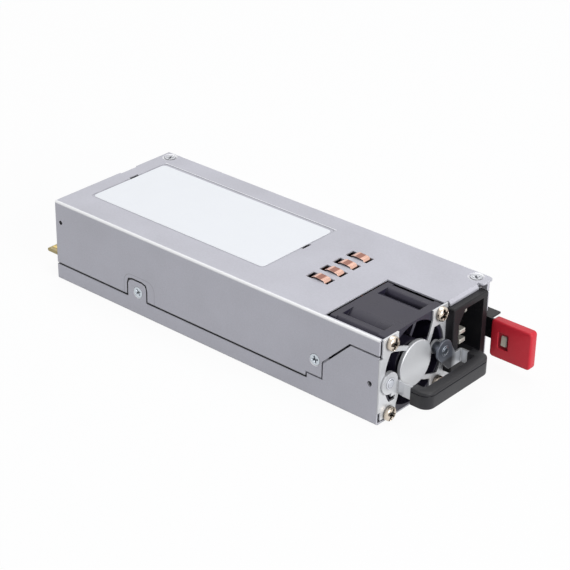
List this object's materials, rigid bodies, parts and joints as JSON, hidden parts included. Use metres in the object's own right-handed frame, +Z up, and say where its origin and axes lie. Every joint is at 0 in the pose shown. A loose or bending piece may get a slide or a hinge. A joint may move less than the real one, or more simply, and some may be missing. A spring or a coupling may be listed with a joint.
{
  "type": "hot swap server power supply",
  "caption": "Rack server power supply in a sheet-metal case with fan, mains inlet, finger handle, spring latch and rear card edge.",
  "frame": {"origin": "centre of the floor of the case, on its outer face", "axes": "+X to the right seen from the front, +Y from the front face to the rear card edge, +Z up"},
  "size_m": [0.0773, 0.2216, 0.0402],
  "materials": {
    "zinc_sheet": "galvanised sheet, fine grain",
    "plate_steel": "stamped nickel-plated steel",
    "dark_steel": "darkened steel",
    "spring_steel": "black spring steel",
    "screw_nickel": "nickel plated",
    "label_paper": "plain matt label",
    "copper": "bright copper alloy",
    "gold": "hard gold plate",
    "black_plastic": "fine moulded grain",
    "grip_plastic": "satin moulded",
    "red_plastic": "satin moulded",
    "board_green": "solder mask",
    "film": "thin insulating film",
    "can_sleeve": "shrunk sleeve",
    "ferrite": "sintered ferrite",
    "winding_tape": "polyester tape",
    "enamel_wire": "enamelled copper",
    "aluminium": "extruded",
    "filter_box": "cast box",
    "varistor_blue": "dipped epoxy",
    "tin": "tinned brass"
  },
  "bodies": {
    "case": {"base_tray": "zinc_sheet", "board_screws": "screw_nickel", "board_standoffs": "screw_nickel", "boost_choke": "enamel_wire", "bridge_rectifier": "black_plastic", "bulk_capacitor": "can_sleeve", "bus_bars": "copper", "control_board": "board_green", "edge_contacts": "gold", "face_plate": "plate_steel", "fan_bearings": "screw_nickel", "fan_frame": "black_plastic", "fan_screws": "screw_nickel", "fan_stator": "enamel_wire", "filter_choke": "enamel_wire", "handle_grip": "grip_plastic", "handle_rivets": "plate_steel", "handle_standoff": "dark_steel", "inlet_board": "board_green", "inlet_housing": "black_plastic", "inlet_pins": "tin", "input_fuse": "tin", "insulation_sheet": "film", "latch_foot": "spring_steel", "latch_rivets": "screw_nickel", "left_handle_bracket": "plate_steel", "main_board": "board_green", "output_board": "board_green", "output_capacitors": "can_sleeve", "output_heatsink": "aluminium", "power_transistors": "black_plastic", "primary_heatsink": "aluminium", "rating_label": "label_paper", "rear_panel": "zinc_sheet", "relay": "black_plastic", "right_handle_bracket": "dark_steel", "side_screws": "screw_nickel", "spring_fingers": "copper", "top_cover": "zinc_sheet", "top_screws": "screw_nickel", "transformer_core": "ferrite", "transformer_winding": "winding_tape", "varistor": "varistor_blue", "x_capacitor": "filter_box"},
    "rotor": {"fan_rotor": "black_plastic", "rotor_shaft": "screw_nickel"},
    "latch": {"latch_strip": "spring_steel", "latch_tab": "red_plastic"}
  },
  "joints": [
    {"name": "fan_spin", "type": "hinge", "parent": "case", "child": "rotor", "pos_m": [-0.0145, -0.0825, 0.0198], "axis": [0, 1, 0], "continuous": true},
    {"name": "latch_press", "type": "hinge", "parent": "case", "child": "latch", "pos_m": [0.0338, -0.0505, 0.0171], "axis": [0, 0, -1], "range_deg": [0, 4.7], "stiffness_Nm_per_rad": 4, "springref_deg": -1.72}
  ]
}
